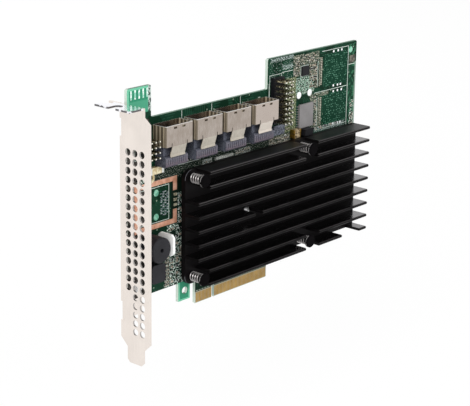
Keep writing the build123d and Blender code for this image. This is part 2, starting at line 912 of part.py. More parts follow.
def field(middle, pitch, grid):
    return [
        (
            middle[0] + pitch[0] * (column - (grid[0] - 1) / 2),
            middle[1] + pitch[1] * (row - (grid[1] - 1) / 2),
        )
        for column in range(grid[0])
        for row in range(grid[1])
    ]


with BuildPart() as inductor:
    with BuildSketch(component_plane()):
        with Locations(inductor_middle):
            Rectangle(*inductor_size)
    extrude(amount=inductor_height)
finish(inductor.part, "inductor")

finish(capped_bodies([film_middle], film_size, film_height), "film_capacitor")
finish(end_caps([film_middle], film_size, film_height), "film_capacitor_ends")
tantalum_places = field(tantalum_middle, (tantalum_pitch, tantalum_pitch), (1, 2))
finish(capped_bodies(tantalum_places, tantalum_size, tantalum_height), "gold_capacitors")
finish(end_caps(tantalum_places, tantalum_size, tantalum_height), "gold_capacitor_ends")

left_field = field(left_field_middle, left_field_pitch, left_field_grid)
left_field += field(edge_column_middle, (1, edge_column_pitch), (1, edge_column_count))
port_row = field(port_row_middle, (port_row_pitch, 1), (port_row_count, 1))
right_field = field(right_field_middle, right_field_pitch, right_field_grid)
right_field += field(upper_row_middle, (upper_row_pitch, 1), (upper_row_count, 1))
small_places = left_field + port_row + right_field
finish(capped_bodies(small_places[::2], small_size, small_height), "small_capacitors")
finish(end_caps(small_places[::2], small_size, small_height), "small_capacitor_ends")
finish(capped_bodies(small_places[1::2], small_size, small_height), "small_resistors")
finish(end_caps(small_places[1::2], small_size, small_height), "small_resistor_ends")

# Long resistor array under the ports, notched along both edges
with BuildPart() as resistor_array:
    with BuildSketch(component_plane()):
        with Locations(array_middle):
            Rectangle(*array_size)
            with GridLocations(array_size[0] / array_notches, array_size[1], array_notches, 2):
                Rectangle(array_notch, array_notch, mode=Mode.SUBTRACT)
    extrude(amount=array_height)
finish(resistor_array.part, "resistor_array")
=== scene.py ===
import json
import math
import random
from functools import reduce

import bpy
from mathutils import Matrix, Vector


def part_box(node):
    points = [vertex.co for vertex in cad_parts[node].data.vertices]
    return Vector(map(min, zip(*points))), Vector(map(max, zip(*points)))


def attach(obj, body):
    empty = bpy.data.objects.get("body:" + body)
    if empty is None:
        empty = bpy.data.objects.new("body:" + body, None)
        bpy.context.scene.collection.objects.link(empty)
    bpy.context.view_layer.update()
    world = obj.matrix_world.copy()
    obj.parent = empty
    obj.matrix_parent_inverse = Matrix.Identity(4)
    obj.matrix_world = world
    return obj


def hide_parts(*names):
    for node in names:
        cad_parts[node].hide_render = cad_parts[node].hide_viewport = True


MM = 0.001
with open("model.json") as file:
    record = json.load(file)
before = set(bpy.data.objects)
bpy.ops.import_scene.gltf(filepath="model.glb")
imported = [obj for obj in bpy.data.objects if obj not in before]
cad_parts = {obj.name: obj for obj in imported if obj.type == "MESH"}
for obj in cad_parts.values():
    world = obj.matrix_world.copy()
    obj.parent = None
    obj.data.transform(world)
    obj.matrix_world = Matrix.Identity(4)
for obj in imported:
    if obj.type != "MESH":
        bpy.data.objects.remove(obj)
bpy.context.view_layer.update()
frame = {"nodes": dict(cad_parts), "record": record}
shuffle = random.Random(7)


def box_mm(name):
    """Lowest and highest corner of a CAD node in millimetres."""
    return [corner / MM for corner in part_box(name)]


# Places from the frame, in millimetres. The board's component face is y = 0, and its parts stand towards -y
bracket_low, bracket_high = box_mm("mounting_bracket")
sink_low, sink_high = box_mm("heat_sink")
pins_low, pins_high = box_mm("push_pins")
shell_low, shell_high = box_mm("port_shell_4")
housing_low = box_mm("port_housing_1")[0]
capacitor_low = box_mm("film_capacitor")[0]
post_tips = box_mm("right_header_pins")[0].y

# Bracket, heat sink, push pins and ports
flange_underside = bracket_high.z - 0.9
plate_face = bracket_low.x + 8.8
plate_back = plate_face + 0.95
fold_start = plate_face - 0.45
flange_rim = plate_face - 1.55
vents_y, vents_z = (-15, 1), (-3, 86)
sink_base_front = sink_high.y - 2.4
sink_corner = 4.4
fin_thickness = 1.4
fin_pitch = (sink_high.z - sink_low.z - fin_thickness) / 8
fin_tips = sink_low.y + 0.7
top_fin_above = sink_high.z - 2.9
tip_highlight_above = 54
pin_head_radius = 3.2
pin_head_back = pins_low.y + 1.5
latch_bend = 83.4
last_port_start = shell_low.x - 1.15
shell_rim = shell_high.z - 0.2
ledge_back = housing_low.y + 1.65
ledge_shade_end = housing_low.z + 4

# Zones of the component face, each as its lowest x and z and its highest x and z
behind_bracket = (-58, 12, -43.6, 96)
empty_chip_places = ((82, 90.6, 101, 107.2), (82, 70.6, 101, 87.2))
shaded_strips = ((-42, 65, 57.4, 71.85), (-29.6, 12, -20, 70))
crowded_fields = (
    (57.4, 99.2, 63.2, 110), (62.6, 104.2, 77.6, 110), (69.8, 91.4, 77, 104.8),
    (71.4, 70.6, 78, 87), (71, 86.4, 86, 88.4), (39.4, 66.2, 57, 72),
)
littered_fields = (
    (-24.8, 43, -20.6, 58), (-32, 40, -24.2, 43.4), (-26, 32, -22, 39.8),
    (-34, 13.6, -20.2, 32), (-51, 66.4, -40, 70), (104, 66.8, 108.2, 80.4),
)
under_ports = (-42, 65, 40, 71.6)
print_under_ports = ((14.6, 67.8, 26, 70.6), (-8, 67.8, -1.5, 70))
print_at_edges = ((40, 109, 57.4, 110.8), (49, 104.2, 57, 106.6), (72.6, 68.2, 100.4, 70.8))
sparse_print = (39.4, 99, 57.4, 109)
beside_header = (48.6, 72.4, 60.2, 99.4)
above_flash_chip = (59.6, 89.6, 74, 98.4)
right_strip = (102.2, 66, 107.7, 110.2)
right_margin = (107.5, 66.8, 110, 100.4)

# Zones without copper: the tab behind the bracket, the hook and the finger edge
tab = (-58, 99.4, -41, 112)
tab_middle = (-55.9, 98.5, -44.2, 110.1)
tab_lower_half = (-58, 97.4, -43, 105)
tab_right_margin = (-44, 97, -41, 112)
hook = (-25, 3, -15.6, 13.5)
hook_middle = (-23.1, 4.9, -17.3, 13.5)
finger_edge = (-13, -1, 40, 5.9)
finger_dashes = (-12, 6.2, 39.2, 6.6)


# Shader wiring
class Wire:
    """A socket of a node tree. Sums on it add the Math nodes that they need."""

    def __init__(self, shading, socket):
        self.shading = shading
        self.socket = socket

    def sum(self, operation, *values):
        return self.shading.node("ShaderNodeMath", {"operation": operation}, dict(enumerate(values)))

    def __add__(self, other):
        return self.sum("ADD", self, other)

    def __radd__(self, other):
        return self.sum("ADD", other, self)

    def __sub__(self, other):
        return self.sum("SUBTRACT", self, other)

    def __rsub__(self, other):
        return self.sum("SUBTRACT", other, self)

    def __mul__(self, other):
        return self.sum("MULTIPLY", self, other)

    def __rmul__(self, other):
        return self.sum("MULTIPLY", other, self)

    def __truediv__(self, other):
        return self.sum("DIVIDE", self, other)

    def __rtruediv__(self, other):
        return self.sum("DIVIDE", other, self)

    def __lt__(self, other):
        return self.sum("LESS_THAN", self, other)

    def __gt__(self, other):
        return self.sum("GREATER_THAN", self, other)

    def __abs__(self):
        return self.sum("ABSOLUTE", self)

    def fraction(self):
        return self.sum("FRACT", self)

    def either(self, other):
        return self.sum("MAXIMUM", self, other)

    def within(self, low, high):
        """1 between low and high, and 0 elsewhere."""
        return (self > low) * (self < high)

    def ramp(self, low, high):
        """0 below low, 1 above high, and a soft step between them."""
        settings = {"interpolation_type": "SMOOTHSTEP"}
        return self.shading.node("ShaderNodeMapRange", settings, {0: self, 1: low, 2: high})


class Shading:
    """A node tree whose sockets take numbers, colours and wires."""

    def __init__(self, tree):
        self.tree = tree

    def put(self, socket, value):
        if isinstance(value, Wire):
            self.tree.links.new(value.socket, socket)
        elif socket.type == "RGBA":
            socket.default_value = (*value[:3], 1)
        else:
            socket.default_value = value

    def node(self, kind, settings=None, inputs=None, output=0):
        node = self.tree.nodes.new(kind)
        for name, value in (settings or {}).items():
            setattr(node, name, value)
        for key, value in (inputs or {}).items():
            self.put(node.inputs[key], value)
        return Wire(self, node.outputs[output])

    def seen_by(self, *rays):
        """1 for the named kinds of ray, and 0 for the others."""
        return reduce(Wire.either, [self.node("ShaderNodeLightPath", output=f"Is {ray} Ray") for ray in rays])


class Finish(Shading):
    """A material made of nodes round one shader."""

    def __init__(self, name, **sockets):
        self.material = bpy.data.materials.new(name)
        self.material.use_nodes = True
        super().__init__(self.material.node_tree)
        self.shader = self.tree.nodes["Principled BSDF"]
        self.set(**sockets)

    def set(self, **sockets):
        for name, value in sockets.items():
            self.put(self.shader.inputs[name.replace("_", " ")], value)

    def place(self, stretch=(1, 1, 1)):
        """Object coordinates in millimetres, as a vector wire."""
        where = self.node("ShaderNodeTexCoord", output="Object")
        scale = tuple(1000 * value for value in stretch)
        return self.node("ShaderNodeVectorMath", {"operation": "MULTIPLY"}, {0: where, 1: scale})

    def split(self, vector):
        return [self.node("ShaderNodeSeparateXYZ", None, {0: vector}, side) for side in range(3)]

    def axes(self):
        """x, y and z in millimetres, as three wires."""
        return self.split(self.place())

    def facing(self):
        """The way that the surface faces, as three wires from -1 to 1."""
        return self.split(self.node("ShaderNodeNewGeometry", output="Normal"))

    def noise(self, size, detail=2.0, rough=0.5, stretch=(1, 1, 1)):
        """Noise whose patches are about size millimetres across."""
        inputs = {"Vector": self.place(stretch), "Scale": 1 / size, "Detail": detail, "Roughness": rough}
        return self.node("ShaderNodeTexNoise", None, inputs)

    def spots(self, pitch, loose):
        """Distance in pitches to the nearest of a field of scattered points on the board."""
        inputs = {"Vector": self.place((1, 0, 1)), "Scale": 1 / pitch, "Randomness": loose}
        return self.node("ShaderNodeTexVoronoi", {"voronoi_dimensions": "3D"}, inputs)

    def blend(self, mask, low, high):
        return self.node("ShaderNodeMix", {"data_type": "RGBA"}, {0: mask, 6: low, 7: high}, 2)

    def paint(self, colour, *coats):
        """Lay coats over a colour in turn, each a mask and the colour that it shows."""
        for mask, coat in coats:
            colour = self.blend(mask, colour, coat)
        return colour

    def raised(self, height, strength=0.3, distance=0.1):
        inputs = {"Height": height, "Strength": strength, "Distance": distance * MM}
        self.set(Normal=self.node("ShaderNodeBump", None, inputs))
        return self


def in_zones(x, z, *zones):
    """1 in any of the zones, and 0 elsewhere."""
    masks = [x.within(low_x, high_x) * z.within(low_z, high_z) for low_x, low_z, high_x, high_z in zones]
    return reduce(Wire.either, masks)


# Finishes for several kinds of piece
def toned(colour, share):
    """The colour made paler by a share of itself, or darker where the share is below 0."""
    return tuple(min(1.0, channel * (1 + share)) for channel in colour)


def plated_metal(name, colour, roughness, metallic=1.0, spread=0.1):
    """Plated sheet or wire, with a soft cloudiness and fine lines."""
    finish = Finish(name, Metallic=metallic)
    lines = finish.noise(0.5, 3, 0.6)
    tone = (finish.noise(9, 3) * 0.6 + lines * 0.4).ramp(0.3, 0.7)
    colour = finish.blend(tone, toned(colour, -spread), toned(colour, spread))
    finish.set(Base_Color=colour, Roughness=lines * 0.12 + (roughness - 0.06))
    return finish.raised(lines, 0.1, 0.02)


def moulded(name, colour, roughness, spread=0.15, grain=0.35, shine=0.25):
    """Moulded plastic or ceramic with a fine grain."""
    finish = Finish(name, Specular_IOR_Level=shine)
    fine = finish.noise(grain, 3, 0.7)
    tone = (finish.noise(6, 2) * 0.5 + fine * 0.5).ramp(0.35, 0.65)
    colour = finish.blend(tone, toned(colour, -spread), toned(colour, spread))
    finish.set(Base_Color=colour, Roughness=fine * 0.16 + (roughness - 0.08))
    return finish.raised(fine, 0.2, 0.03)


def mottled(name, low, high, patch, shine=0.25):
    """A body of two mixed colours in patches about patch millimetres across."""
    finish = Finish(name, Specular_IOR_Level=shine)
    mixed = finish.noise(patch, 3, 0.6)
    finish.set(Base_Color=finish.blend(mixed.ramp(0.42, 0.58), low, high), Roughness=mixed * 0.2 + 0.35)
    return finish.raised(mixed, 0.3, 0.05)


# Finish of the board
def track_lines(along, per_mm):
    return abs((along * per_mm).fraction() - 0.5) < 0.15


def routed_tracks(finish, x, z):
    """Tracks that run upright, level or slanted from patch to patch, and end where the board has none."""
    way = finish.noise(11, 0)
    tracks = track_lines(x, 0.78) * (way < 0.46) + track_lines(z, 0.78) * (way > 0.56)
    tracks = tracks + track_lines(x + z, 0.6) * way.within(0.46, 0.5)
    return tracks * (finish.noise(8, 1) > 0.5)


def solder_mask(finish, tracks):
    """Green mask over copper planes and tracks, with rings round the vias."""
    planes = finish.blend(finish.noise(14, 1) > 0.5, (0.004, 0.024, 0.012), (0.008, 0.042, 0.023))
    rings = finish.spots(2.3, 0.8).within(0.07, 0.17) * (finish.noise(18, 0) > 0.42)
    return finish.paint(planes, (tracks, (0.020, 0.078, 0.046)), (rings, (0.30, 0.40, 0.30)))


def component_face(finish, colour, x, z):
    """What the component side shows: painted shade behind the bracket and in strips, pads of empty chip
    places, mixed print and paler strips.
    """
    fine, coarse = finish.noise(0.58, 2, 0.65), finish.noise(0.85, 2, 0.65)
    # painted shade: a dim grey-brown mottle for the board behind the bracket
    shade_behind_bracket = finish.blend(finish.noise(1.5, 2).ramp(0.4, 0.6), (0.012, 0.012, 0.010), (0.075, 0.066, 0.060))
    chip_pads = (finish.spots(1.15, 0.4) < 0.27) * (finish.noise(3, 1) > 0.36)
    patches = finish.noise(2.6, 2) > 0.44
    chips, crowded = in_zones(x, z, *empty_chip_places), in_zones(x, z, *crowded_fields)
    littered = in_zones(x, z, *littered_fields)
    posts_field, flash_field = in_zones(x, z, beside_header), in_zones(x, z, above_flash_chip)
    return finish.paint(
        colour,
        # painted shade behind the bracket
        (in_zones(x, z, behind_bracket), shade_behind_bracket),
        (chips, (0.004, 0.038, 0.020)),
        (chips * chip_pads, (0.11, 0.28, 0.19)),
        (in_zones(x, z, *shaded_strips), (0.005, 0.014, 0.009)),
        (crowded * patches * (fine > 0.51), (0.27, 0.28, 0.21)),
        (crowded * (fine > 0.61), (0.50, 0.50, 0.43)),
        (crowded * (fine < 0.45), (0.006, 0.016, 0.010)),
        (littered * (coarse > 0.535), (0.66, 0.78, 0.70)),
        (littered * (coarse < 0.50), (0.006, 0.030, 0.018)),
        (in_zones(x, z, under_ports) * (fine > 0.58), (0.26, 0.28, 0.24)),
        (in_zones(x, z, *print_under_ports) * (fine > 0.5), (0.52, 0.56, 0.52)),
        (in_zones(x, z, *print_at_edges) * (fine > 0.53), (0.46, 0.54, 0.52)),
        (in_zones(x, z, sparse_print) * (fine > 0.63), (0.50, 0.58, 0.55)),
        (posts_field * (fine > 0.50), (0.26, 0.29, 0.15)),
        (posts_field * (fine > 0.62), (0.62, 0.60, 0.48)),
        (posts_field * (fine < 0.42), (0.008, 0.012, 0.006)),
        (flash_field * (finish.noise(1.1, 2) > 0.5), (0.21, 0.36, 0.27)),
        (flash_field * (fine > 0.57), (0.62, 0.68, 0.60)),
        (flash_field * (fine < 0.41), (0.010, 0.020, 0.014)),
        (in_zones(x, z, right_strip) * (finish.noise(2, 1) > 0.55), (0.035, 0.14, 0.075)),
        (in_zones(x, z, right_margin), (0.24, 0.32, 0.27)),
    )


def backlit_bare_laminate(finish, x, z, front):
    """Laminate without copper, on the tab and the hook: pale as bare laminate and with painted light shining
    through it from behind, with a greener middle.
    """
    middle = in_zones(x, z, tab_middle, hook_middle)
    speckles = finish.noise(1.3, 2).ramp(0.44, 0.56)
    # painted light: the pale green stands for light shining through the bare laminate from behind
    return finish.paint(
        (0.17, 0.53, 0.35),
        (middle, (0.040, 0.27, 0.155)),
        (in_zones(x, z, tab_lower_half) * middle, (0.075, 0.34, 0.21)),
        (in_zones(x, z, tab_right_margin) * front,
         finish.blend(speckles, (0.030, 0.060, 0.050), (0.52, 0.60, 0.56))),
    )


def board_laminate():
    """Green board: tracks and vias on both sides, print on the front, bare zones painted pale as if lit
    through from behind, and cut edges with painted light where they face left and down.
    """
    finish = Finish("board_laminate", Specular_IOR_Level=0.04)
    x, _, z = finish.axes()
    facing = finish.facing()
    front = facing[1] < 0.5
    tracks = routed_tracks(finish, x, z)
    both_sides = solder_mask(finish, tracks)
    dashes = in_zones(x, z, finger_dashes) * ((x * 0.5).fraction() < 0.7)
    colour = finish.paint(
        both_sides,
        (front, component_face(finish, both_sides, x, z)),
        (in_zones(x, z, tab, hook), backlit_bare_laminate(finish, x, z, front)),
        (in_zones(x, z, finger_edge), (0.42, 0.40, 0.31)),
        (dashes, (0.30, 0.36, 0.30)),
        (abs(facing[1]) < 0.8, (0.13, 0.21, 0.16)),
        # painted light: cut edges that face left and down are painted pale, as if lit
        ((facing[0] < -0.6).either(facing[2] < -0.3), (0.60, 0.70, 0.62)),
    )
    grain = finish.noise(0.4, 2)
    finish.set(Base_Color=colour, Roughness=grain * 0.2 + 0.3)
    return finish.raised(tracks + grain * 0.2, 0.35, 0.04)


# Finishes of single pieces
def bracket_plate():
    """Nickel on the bracket: soft along the plate, a painted highlight on the flange, painted shade on the
    flange's cut edges, and vent walls darker as sheared steel and with painted shade.
    """
    finish = Finish("nickel_plate", Metallic=1.0)
    x, y, z = finish.axes()
    facing = finish.facing()
    lines = finish.noise(0.5, 3, 0.6, (1, 1, 0.04))
    tone = (finish.noise(9, 3) * 0.6 + lines * 0.4).ramp(0.3, 0.7)
    flange = z > flange_underside
    flange_edge_shade = flange * (x < flange_rim) * (facing[2] < 0.5) * (facing[1] < 0.3)
    vent_wall_cut_and_shade = (x < plate_back) * y.within(*vents_y) * z.within(*vents_z) * (abs(facing[0]) < 0.4)
    colour = finish.paint(
        finish.blend(tone, (0.81, 0.74, 0.685), (0.89, 0.815, 0.755)),
        # painted highlight: the flange's top painted near white
        (flange * (x < fold_start), (0.93, 0.93, 0.97)),
        # painted shade on the flange's cut edges
        (flange_edge_shade * (finish.noise(4, 1) > 0.42), (0.16, 0.155, 0.16)),
        # vent walls darker as sheared steel, and with painted shade
        (vent_wall_cut_and_shade, (0.46, 0.43, 0.41)),
    )
    finish.set(Base_Color=colour, Roughness=lines * 0.12 + 0.14)
    return finish.raised(lines, 0.1, 0.02)


def gold_contacts():
    """Gold plating with rubbed lines where a slot's springs wipe it."""
    finish = Finish("gold_contacts", Metallic=1.0)
    wiped = finish.noise(0.25, 2, 0.5, (1, 1, 0.08))
    tone = (wiped * 0.3 + finish.noise(5, 2) * 0.7).ramp(0.3, 0.7)
    colour = finish.blend(tone, (0.33, 0.185, 0.030), (0.50, 0.30, 0.070))
    finish.set(Base_Color=colour, Roughness=wiped * 0.25 + 0.2)
    return finish.raised(wiped, 0.15, 0.02)


def black_anodised():
    """Black anodised extrusion: pale tip lines of worn edges and painted highlight, upward faces made
    metal-like and paler for a painted sheen that is dimmer on the top fin, and a painted highlight on the
    base's left corners.
    """
    finish = Finish("black_anodised", Specular_IOR_Level=0.07)
    x, y, z = finish.axes()
    facing = finish.facing()
    drawn = finish.noise(0.35, 3, 0.6, (0.02, 1, 1))
    worn = finish.noise(3, 3, 0.6, (0.3, 1, 1)).ramp(0.25, 0.6)
    tip = (y < fin_tips) * (abs(facing[2]) < 0.95)
    up_fin = ((z - sink_low.z) / fin_pitch).fraction() * fin_pitch
    worn_tip_highlights = tip * (up_fin < 0.28).either(up_fin.within(1.08, 1.45))
    sheen_faces = (facing[2] > 0.9) * (y < sink_base_front - 0.1)
    top_fin = sheen_faces * (z > top_fin_above)
    base_edge_highlight = y.within(sink_base_front - 0.05, sink_base_front + 0.3) * (abs(facing[1]) < 0.5)
    corners = (z > sink_high.z - sink_corner).either(z < sink_low.z + sink_corner)
    colour = finish.paint(
        finish.blend(drawn, (0.0022, 0.0018, 0.0020), (0.0065, 0.0055, 0.0060)),
        (tip, (0.002, 0.0016, 0.0018)),
        # pale lines on the fin tips: worn edges with a painted highlight
        (worn_tip_highlights * worn, (0.030, 0.027, 0.028)),
        # painted highlight: brighter tip lines on the higher fins
        (worn_tip_highlights * (z > tip_highlight_above), (0.058, 0.054, 0.055)),
        # painted sheen on the upward faces, dimmer on the top fin
        (sheen_faces, (0.145, 0.14, 0.145)),
        (top_fin, (0.035, 0.034, 0.036)),
        # painted highlight on the rounded left corners of the base's edge
        (base_edge_highlight * (x < sink_low.x + sink_corner) * corners, (0.16, 0.16, 0.18)),
    )
    # the upward faces with painted sheen are smoother and metal-like, and the top fin's face is rougher
    roughness = drawn * 0.2 + 0.3 - sheen_faces * 0.17 + top_fin * 0.22
    finish.set(Base_Color=colour, Metallic=sheen_faces, Roughness=roughness)
    return finish.raised(drawn, 0.12, 0.02)


def pin_nylon():
    """Black nylon of the push pins, with a painted highlight in a line round the left of each head."""
    finish = Finish("pin_nylon", Specular_IOR_Level=0.01)
    y = finish.axes()[1]
    fine = finish.noise(0.35, 3, 0.7)
    # the line of painted highlight round the left of each head
    line = y.within(pin_head_back - 0.75, pin_head_back - 0.3) * (finish.facing()[0] < -0.2)
    colour = finish.paint(
        finish.blend(fine.ramp(0.35, 0.65), (0.0028, 0.0024, 0.0028), (0.0042, 0.0036, 0.0042)),
        # painted highlight on the left of each head's rim
        (line * (finish.noise(1.6, 1) > 0.4), (0.26, 0.25, 0.25)),
    )
    finish.set(Base_Color=colour, Roughness=fine * 0.16 + 0.42)
    return finish.raised(fine, 0.2, 0.03)


def bare_copper():
    """Bare copper, cloudy and lightly scuffed."""
    finish = Finish("bare_copper", Metallic=0.35)
    fine = finish.noise(0.3, 2)
    colour = finish.blend(finish.noise(3, 3, 0.6).ramp(0.3, 0.7), (0.56, 0.25, 0.15), (0.80, 0.46, 0.33))
    finish.set(Base_Color=colour, Roughness=fine * 0.2 + 0.35)
    return finish.raised(fine, 0.2, 0.02)


def port_moulding():
    """Slate plastic, with painted shade darkening the recess, and paler on the ribbed ledge."""
    finish = Finish("port_moulding", Specular_IOR_Level=0.15)
    _, y, z = finish.axes()
    fine = finish.noise(0.5, 3, 0.7)
    tone = fine.ramp(0.35, 0.65)
    # painted shade: the recess behind the ledge is painted darker
    recess = finish.blend(tone, (0.034, 0.036, 0.052), (0.140, 0.150, 0.185))
    up_ledge = z.ramp(housing_low.z, ledge_shade_end)
    ledge = finish.blend(up_ledge, (0.165, 0.120, 0.135), (0.165, 0.163, 0.185))
    ledge = finish.blend(tone, ledge, (0.085, 0.082, 0.115))
    colour = finish.blend(y < ledge_back, recess, ledge)
    finish.set(Base_Color=colour, Roughness=fine * 0.2 + 0.4)
    return finish.raised(fine, 0.3, 0.04)


def tinned_shell():
    """Tin plate over the ports: rolled lines, the last port's shell and the latch painted paler as lit, end
    walls of pale bands with painted shade between them, and a painted highlight on the rim.
    """
    finish = Finish("tinned_shell", Metallic=1.0)
    x, y, z = finish.axes()
    rolled = finish.noise(0.45, 3, 0.6, (1, 1, 0.12))
    tone = (finish.noise(5, 2) * 0.5 + rolled * 0.5).ramp(0.35, 0.65)
    # painted light: the last port's shell is painted paler than the others
    last_port_light = (x > last_port_start) * 0.8
    wall = finish.blend(tone, (0.37, 0.315, 0.27), (0.46, 0.405, 0.36))
    # painted highlight: the latch, bent outwards, is painted paler
    latch = finish.blend(tone, (0.40, 0.36, 0.30), (0.50, 0.46, 0.39))
    wall = finish.blend(last_port_light, wall, (0.53, 0.46, 0.41))
    latch = finish.blend(last_port_light, latch, (0.68, 0.61, 0.54))
    on_latch = z < latch_bend
    end_wall = finish.facing()[0] < -0.6
    colour = finish.paint(
        wall,
        (on_latch, latch),
        # end walls facing left: pale stripes, with painted shade in the bands between them
        (end_wall, (0.62, 0.52, 0.38)),
        (end_wall * ((y * 0.45).fraction() < 0.6), (0.16, 0.13, 0.09)),
        # painted highlight along the shell's top rim
        (z > shell_rim, (0.75, 0.73, 0.70)),
    )
    # latch and end walls made less metal-like, so that their painted light and shade show
    metallic = on_latch.either(end_wall) * -0.6 + 1
    finish.set(Base_Color=colour, Metallic=metallic, Roughness=rolled * 0.14 + 0.16)
    return finish.raised(rolled, 0.1, 0.02)


def header_pins():
    """Square wire: painted highlights at the cut tips and at the back, on shafts of varied tone darkened by
    painted shade.
    """
    finish = Finish("header_pins", Metallic=0.9)
    y = finish.axes()[1]
    cloud = finish.noise(0.9, 2)
    # shafts: varied tone, darkened by painted shade
    shaft_tone_and_shade = finish.blend(cloud.ramp(0.4, 0.62), (0.10, 0.085, 0.045), (0.62, 0.54, 0.36))
    highlit_ends = (y < post_tips + 0.7).either(y > 0)
    # painted highlight at the cut tips and at the back
    finish.set(Base_Color=finish.blend(highlit_ends, shaft_tone_and_shade, (0.98, 0.95, 0.84)), Roughness=cloud * 0.2 + 0.15)
    return finish.raised(cloud, 0.1, 0.02)


# One finish for each material slot of the record, and others for single nodes and for prints
finishes = {
    "board_green": board_laminate(),
    "gold_contact": gold_contacts(),
    "bracket_metal": bracket_plate(),
    "screw_metal": plated_metal("plated_screw", (0.62, 0.62, 0.62), 0.3),
    "black_sink": black_anodised(),
    "black_plastic": moulded("black_moulding", (0.007, 0.007, 0.009), 0.4, shine=0.15),
    "spring_metal": plated_metal("spring_wire", (0.47, 0.445, 0.44), 0.34, 0.8),
    "shell_metal": tinned_shell(),
    "port_plastic": port_moulding(),
    "pin_metal": header_pins(),
    "chip_black": moulded("black_epoxy", (0.010, 0.010, 0.012), 0.5, shine=0.15),
    "chip_lid": plated_metal("chip_lid_metal", (0.5, 0.5, 0.52), 0.4),
    "chip_grey": moulded("grey_epoxy", (0.235, 0.225, 0.225), 0.5, 0.1),
    "pad_grey": moulded("thermal_rubber", (0.33, 0.36, 0.42), 0.7),
    "white_plastic": moulded("white_moulding", (0.93, 0.94, 0.93), 0.4, 0.04, shine=0.5),
    "copper": bare_copper(),
    "cream_body": mottled("cream_moulding", (0.60, 0.48, 0.26), (0.86, 0.78, 0.56), 1.6),
    "gold_body": mottled("gold_moulding", (0.12, 0.085, 0.045), (0.55, 0.43, 0.26), 0.9),
    "tan_ceramic": mottled("tan_ceramic", (0.20, 0.14, 0.09), (0.50, 0.42, 0.33), 0.5),
    "solder_tin": plated_metal("solder_tin", (0.80, 0.81, 0.79), 0.3, 0.6),
}
slate_chip = mottled("slate_chip", (0.025, 0.030, 0.045), (0.20, 0.22, 0.27), 0.7)
drum_black = moulded("drum_black", (0.017, 0.017, 0.021), 0.5, 0.2, 0.5, 0.2)
node_finishes = {
    "regulator": slate_chip,
    "sounder": drum_black,
    "power_choke": drum_black,
    "resistor_array": mottled("pale_array", (0.36, 0.37, 0.34), (0.62, 0.64, 0.60), 0.9),
    "push_pins": pin_nylon(),
    "frame_jumpers": mottled("jumper_olive", (0.09, 0.085, 0.05), (0.36, 0.34, 0.25), 1.0),
}
printed_white = moulded("printed_white", (0.66, 0.74, 0.68), 0.6, 0.08)
bright_print = moulded("bright_print", (0.90, 0.92, 0.92), 0.5, 0.04)
bar_print = mottled("bar_print", (0.30, 0.66, 0.51), (0.86, 0.97, 0.92), 1.6)
bare_pad = mottled("bare_pad", (0.28, 0.26, 0.20), (0.66, 0.62, 0.52), 0.8)
pale_mask = mottled("pale_mask", (0.11, 0.38, 0.25), (0.30, 0.60, 0.45), 2.2)
frame_mark = mottled("frame_mark", (0.06, 0.08, 0.10), (0.50, 0.55, 0.56), 0.8)
dull_tin = mottled("dull_tin", (0.10, 0.10, 0.07), (0.66, 0.67, 0.60), 0.8)
worn_brown = mottled("worn_brown", (0.05, 0.045, 0.035), (0.16, 0.15, 0.12), 1.2)

for part in frame["record"]["subparts"]:
    node = frame["nodes"][part["node"]]
    node.data.materials.clear()
    node.data.materials.append(node_finishes.get(part["node"], finishes[part["material_slot"]]).material)


# Making pieces
def deselect():
    if bpy.context.object and bpy.context.object.mode != "OBJECT":
        bpy.ops.object.mode_set(mode="OBJECT")
    bpy.ops.object.select_all(action="DESELECT")


def choose(pieces):
    deselect()
    for piece in pieces:
        piece.select_set(True)
    bpy.context.view_layer.objects.active = pieces[0]


def settle(piece):
    """Put the piece's place into its mesh, so that its object sits at the origin."""
    choose([piece])
    bpy.ops.object.transform_apply(location=True, rotation=True, scale=True)
    return piece


def block(low, high):
    """A box between two corners in millimetres."""
    deselect()
    low, high = Vector(low), Vector(high)
    bpy.ops.mesh.primitive_cube_add(size=1, location=(low + high) / 2 * MM)
    piece = bpy.context.object
    piece.scale = (high - low) * MM
    return settle(piece)


def disc(radius, thickness, sides):
    """A round plate that lies on the board, about the origin."""
    deselect()
    bpy.ops.mesh.primitive_cylinder_add(
        vertices=sides, radius=radius * MM, depth=thickness * MM,
        location=(0, -thickness / 2 * MM, 0), rotation=(math.pi / 2, 0, 0),
    )
    return settle(bpy.context.object)


def modify(piece, kind, **settings):
    choose([piece])
    modifier = piece.modifiers.new(kind.lower(), kind)
    for name, value in settings.items():
        setattr(modifier, name, value)
    bpy.ops.object.modifier_apply(modifier=modifier.name)
    return piece


def rounded(piece, width):
    return modify(piece, "BEVEL", width=width * MM, segments=2, angle_limit=math.radians(40))


def joined(pieces):
    choose(pieces)
    if len(pieces) > 1:
        bpy.ops.object.join()
    return settle(bpy.context.object)


def smooth(piece):
    choose([piece])
    bpy.ops.object.shade_smooth_by_angle(angle=math.radians(35))
    return piece


def copies(model, places):
    """Copies of a model made at the origin, joined: one on the board at each x, z and quarter turns."""
    made = []
    for x, z, turns in places:
        copy = model.copy()
        copy.data = model.data.copy()
        bpy.context.collection.objects.link(copy)
        turn = Matrix.Rotation(turns * math.pi / 2, 4, "Y")
        copy.matrix_world = Matrix.Translation(Vector((x, 0, z)) * MM) @ turn
        made.append(copy)
    bpy.data.objects.remove(model)
    return joined(made)


def add(piece, name, slot, finish=None):
    """Name a finished piece, and give it its finish, the slot's own unless another is given, and its body."""
    piece.name = piece.data.name = name
    piece.data.materials.clear()
    piece.data.materials.append((finish or finishes[slot]).material)
    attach(piece, "root")


